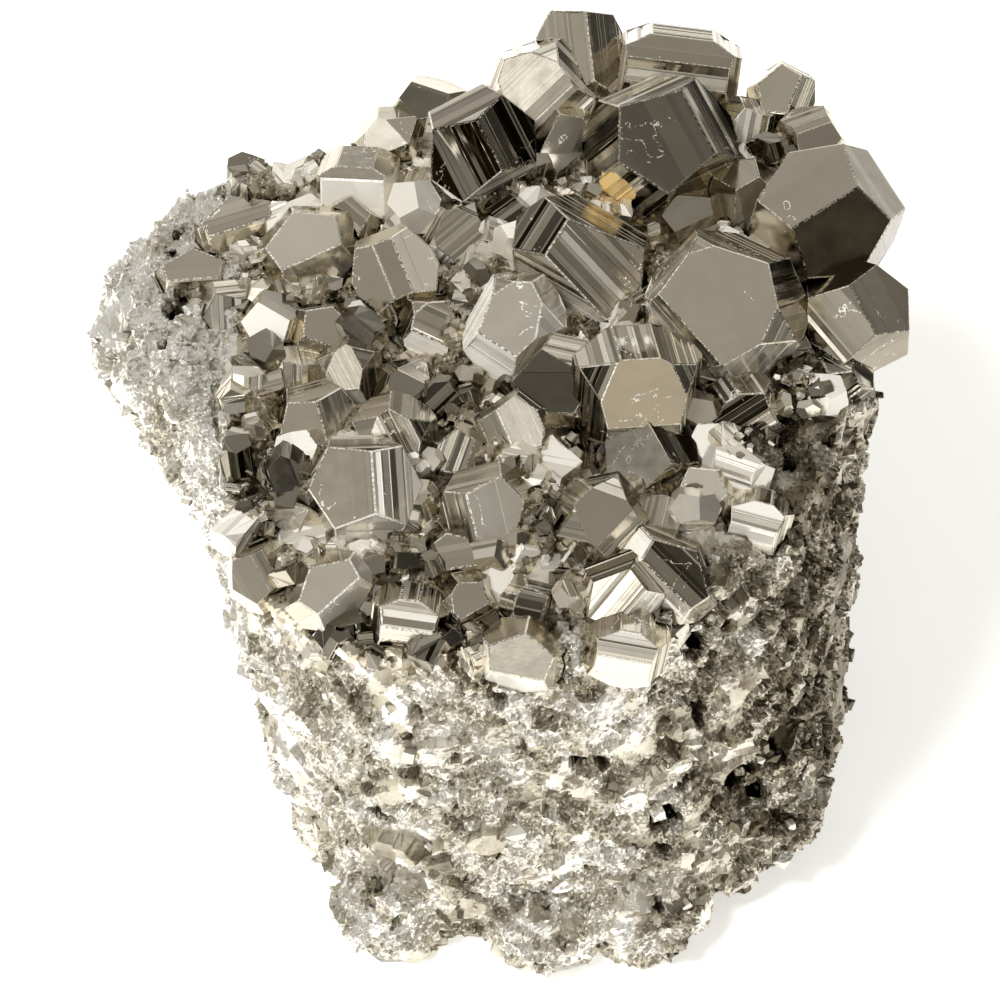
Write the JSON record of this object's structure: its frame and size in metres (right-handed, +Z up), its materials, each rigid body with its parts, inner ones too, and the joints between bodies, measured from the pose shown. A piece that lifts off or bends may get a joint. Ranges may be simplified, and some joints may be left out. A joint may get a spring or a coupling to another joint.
{
  "type": "pyrite specimen",
  "caption": "Cluster of intergrown pyritohedral pyrite crystals on a block of massive granular pyrite with a flat underside, for display on a shelf.",
  "frame": {"origin": "middle of the underside of the bounding box, on the surface it stands on", "axes": "+Z up, +X to the right and -Y towards the viewer, who looks at the crystal face of the specimen from the front and above"},
  "size_m": [0.0808, 0.0816, 0.0624],
  "materials": {
    "crystal_pyrite": "mirror-smooth to finely grooved metallic crystal faces",
    "granular_pyrite": "rough, sparkling metallic broken grain"
  },
  "bodies": {
    "root": {"granular_pyrite_block": "granular_pyrite", "right_hexagon_crystal": "crystal_pyrite", "octagon_crystal": "crystal_pyrite", "crown_crystal": "crystal_pyrite", "right_back_crystal": "crystal_pyrite", "striated_bar_crystal": "crystal_pyrite", "left_front_crystal": "crystal_pyrite", "centre_tall_crystal": "crystal_pyrite", "dark_striated_crystal": "crystal_pyrite", "back_slab_crystal": "crystal_pyrite", "peak_front_crystal": "crystal_pyrite", "peak_rear_crystal": "crystal_pyrite", "right_edge_crystal": "crystal_pyrite", "left_slab_crystal": "crystal_pyrite", "left_twin_face_crystal": "crystal_pyrite", "left_back_box_crystal": "crystal_pyrite", "left_pillar_crystal": "crystal_pyrite", "barrel_crystal": "crystal_pyrite", "centre_dark_crystal": "crystal_pyrite", "front_hexagon_crystal": "crystal_pyrite", "octagon_shoulder_crystal": "crystal_pyrite", "centre_pale_crystal": "crystal_pyrite", "under_octagon_crystal": "crystal_pyrite", "front_long_crystal": "crystal_pyrite", "front_white_crystal": "crystal_pyrite", "front_striped_box_crystal": "crystal_pyrite", "right_bars_crystal": "crystal_pyrite", "low_striped_crystal": "crystal_pyrite", "left_low_beige_crystal": "crystal_pyrite", "left_tall_crystal": "crystal_pyrite", "right_upper_dark_crystal": "crystal_pyrite", "right_upper_grey_crystal": "crystal_pyrite", "wedge_crystal": "crystal_pyrite", "rim_dark_crystal": "crystal_pyrite", "rim_pale_crystal": "crystal_pyrite", "banded_crystal": "crystal_pyrite", "behind_slab_crystal": "crystal_pyrite", "wing_plate_crystal": "crystal_pyrite", "wing_flat_crystal": "crystal_pyrite", "wing_block_crystal": "crystal_pyrite", "wing_white_crystal": "crystal_pyrite", "left_grey_crystal": "crystal_pyrite", "left_grooved_crystal": "crystal_pyrite", "front_block_crystal": "crystal_pyrite", "front_bright_crystal": "crystal_pyrite", "right_low_striated_crystal": "crystal_pyrite", "right_white_crystal": "crystal_pyrite", "front_facet_crystal": "crystal_pyrite", "dome_crystal": "crystal_pyrite", "low_pale_crystal": "crystal_pyrite", "left_corner_crystal": "crystal_pyrite", "rear_right_upper_crystal": "crystal_pyrite", "rear_right_lower_crystal": "crystal_pyrite", "slab_foot_crystal": "crystal_pyrite", "centre_dome_crystal": "crystal_pyrite", "brown_striated_crystal": "crystal_pyrite", "right_dark_grooved_crystal": "crystal_pyrite", "centre_left_grooved_crystal": "crystal_pyrite", "mid_left_crystal": "crystal_pyrite", "small_back_crystal": "crystal_pyrite"}
  },
  "joints": []
}
